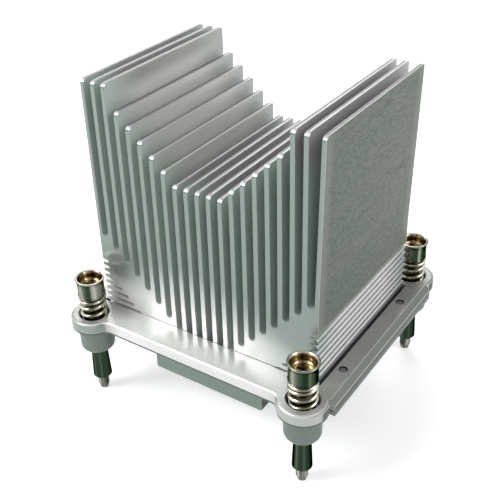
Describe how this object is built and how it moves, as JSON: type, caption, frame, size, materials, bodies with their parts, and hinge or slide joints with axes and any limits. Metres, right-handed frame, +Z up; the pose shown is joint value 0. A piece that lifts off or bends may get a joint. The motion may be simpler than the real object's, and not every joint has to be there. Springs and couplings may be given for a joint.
{
  "type": "passive server cpu heatsink",
  "caption": "Tall finned aluminium heatsink with a V-shaped valley across its fins, in a cast frame with spring-loaded captive screws at its corners.",
  "frame": {"origin": "centre of the polished face that presses on the processor", "axes": "+Z up through the fins, Y along the fins and the airflow, X across the fins"},
  "size_m": [0.0972, 0.0904, 0.111],
  "materials": {
    "extruded_aluminium": "satin, with fine grain along the extrusion",
    "cast_aluminium": "satin, as cast and tumbled",
    "plated_steel": "polished nickel plating",
    "spring_steel": "bright nickel plating",
    "sleeve_steel": "dark smooth steel",
    "screw_steel": "zinc plating"
  },
  "bodies": {
    "base": {"fin_block": "extruded_aluminium", "retention_frame": "cast_aluminium", "frame_screw_front_left": "screw_steel", "frame_screw_front_right": "screw_steel", "frame_screw_back_left": "screw_steel", "frame_screw_back_right": "screw_steel"},
    "spring_front_left": {"screw_spring_front_left": "spring_steel"},
    "screw_front_left": {"captive_screw_front_left": "plated_steel", "retaining_sleeve_front_left": "sleeve_steel"},
    "spring_front_right": {"screw_spring_front_right": "spring_steel"},
    "screw_front_right": {"captive_screw_front_right": "plated_steel", "retaining_sleeve_front_right": "sleeve_steel"},
    "spring_back_left": {"screw_spring_back_left": "spring_steel"},
    "screw_back_left": {"captive_screw_back_left": "plated_steel", "retaining_sleeve_back_left": "sleeve_steel"},
    "spring_back_right": {"screw_spring_back_right": "spring_steel"},
    "screw_back_right": {"captive_screw_back_right": "plated_steel", "retaining_sleeve_back_right": "sleeve_steel"}
  },
  "joints": [
    {"name": "screw_press_front_left", "type": "slide", "parent": "base", "child": "spring_front_left", "axis": [0, 0, -1], "range_m": [0, 0.005], "stiffness_N_per_m": 9000, "springref_m": -0.002, "deforming": ["screw_spring_front_left"]},
    {"name": "screw_turn_front_left", "type": "hinge", "parent": "spring_front_left", "child": "screw_front_left", "pos_m": [-0.04, -0.0375, 0.0275], "axis": [0, 0, 1], "continuous": true},
    {"name": "screw_press_front_right", "type": "slide", "parent": "base", "child": "spring_front_right", "axis": [0, 0, -1], "range_m": [0, 0.005], "stiffness_N_per_m": 9000, "springref_m": -0.002, "deforming": ["screw_spring_front_right"]},
    {"name": "screw_turn_front_right", "type": "hinge", "parent": "spring_front_right", "child": "screw_front_right", "pos_m": [0.04, -0.0375, 0.0275], "axis": [0, 0, 1], "continuous": true},
    {"name": "screw_press_back_left", "type": "slide", "parent": "base", "child": "spring_back_left", "axis": [0, 0, -1], "range_m": [0, 0.005], "stiffness_N_per_m": 9000, "springref_m": -0.002, "deforming": ["screw_spring_back_left"]},
    {"name": "screw_turn_back_left", "type": "hinge", "parent": "spring_back_left", "child": "screw_back_left", "pos_m": [-0.04, 0.0375, 0.0275], "axis": [0, 0, 1], "continuous": true},
    {"name": "screw_press_back_right", "type": "slide", "parent": "base", "child": "spring_back_right", "axis": [0, 0, -1], "range_m": [0, 0.005], "stiffness_N_per_m": 9000, "springref_m": -0.002, "deforming": ["screw_spring_back_right"]},
    {"name": "screw_turn_back_right", "type": "hinge", "parent": "spring_back_right", "child": "screw_back_right", "pos_m": [0.04, 0.0375, 0.0275], "axis": [0, 0, 1], "continuous": true}
  ]
}
